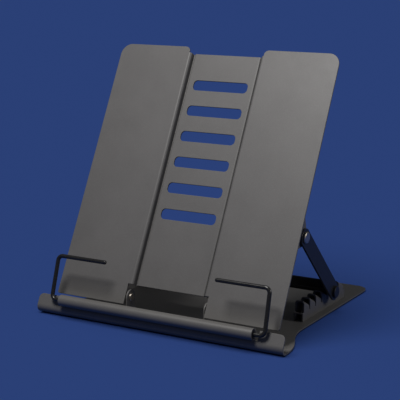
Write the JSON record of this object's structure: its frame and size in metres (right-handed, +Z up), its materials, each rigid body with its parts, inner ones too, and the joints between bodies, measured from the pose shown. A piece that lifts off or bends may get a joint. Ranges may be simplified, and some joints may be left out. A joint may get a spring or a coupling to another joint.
{
  "type": "book and album stand",
  "caption": "Folding sheet-steel desk stand: slotted back panel on a toothed base, held by a hinged strut, with a rolled ledge and swinging page wires.",
  "frame": {"origin": "on the table, under the middle of the stand's footprint", "axes": "+X across the stand to the reader's right, +Y away from the reader, +Z up"},
  "size_m": [0.22, 0.2064, 0.2099],
  "materials": {
    "textured_coat": "fine-textured powder coat, satin, dark warm grey",
    "dark_coat": "semi-gloss black coat",
    "nickel": "nickel-plated rivet, satin",
    "foot_rubber": "matt",
    "bush_plastic": "matt moulded"
  },
  "bodies": {
    "base": {"base_plate": "textured_coat", "tooth_rail_left": "textured_coat", "tooth_rail_right": "textured_coat", "hinge_rivet_left": "nickel", "hinge_rivet_right": "nickel", "hinge_washer_left": "nickel", "hinge_washer_right": "nickel", "wire_bush_left": "bush_plastic", "wire_bush_right": "bush_plastic", "foot_pad_front_left": "foot_rubber", "foot_pad_front_right": "foot_rubber", "foot_pad_rear_left": "foot_rubber", "foot_pad_rear_right": "foot_rubber"},
    "panel": {"back_panel": "textured_coat", "strut_lug_left": "textured_coat", "strut_lug_right": "textured_coat", "strut_rivet_left": "nickel", "strut_rivet_right": "nickel"},
    "strut": {"strut_arm_left": "dark_coat", "strut_arm_right": "dark_coat", "strut_washer_left": "nickel", "strut_washer_right": "nickel", "support_rod": "dark_coat", "rod_cap_left": "dark_coat", "rod_cap_right": "dark_coat", "cross_brace": "dark_coat"},
    "wire_left": {"page_wire_left": "dark_coat", "wire_collar_left": "bush_plastic"},
    "wire_right": {"page_wire_right": "dark_coat", "wire_collar_right": "bush_plastic"}
  },
  "joints": [
    {"name": "panel_tilt", "type": "hinge", "parent": "base", "child": "panel", "pos_m": [0, -0.0759, 0.0189], "axis": [1, 0, 0], "range_deg": [0, 24]},
    {"name": "strut_swing", "type": "hinge", "parent": "panel", "child": "strut", "pos_m": [0, -0.03172, 0.07397], "axis": [1, 0, 0], "range_deg": [0, 110]},
    {"name": "page_wire_left_swing", "type": "hinge", "parent": "base", "child": "wire_left", "pos_m": [0, -0.0987, 0.01423], "axis": [1, 0, 0], "range_deg": [-10, 100]},
    {"name": "page_wire_right_swing", "type": "hinge", "parent": "base", "child": "wire_right", "pos_m": [0, -0.0987, 0.01423], "axis": [1, 0, 0], "range_deg": [-10, 100]}
  ]
}
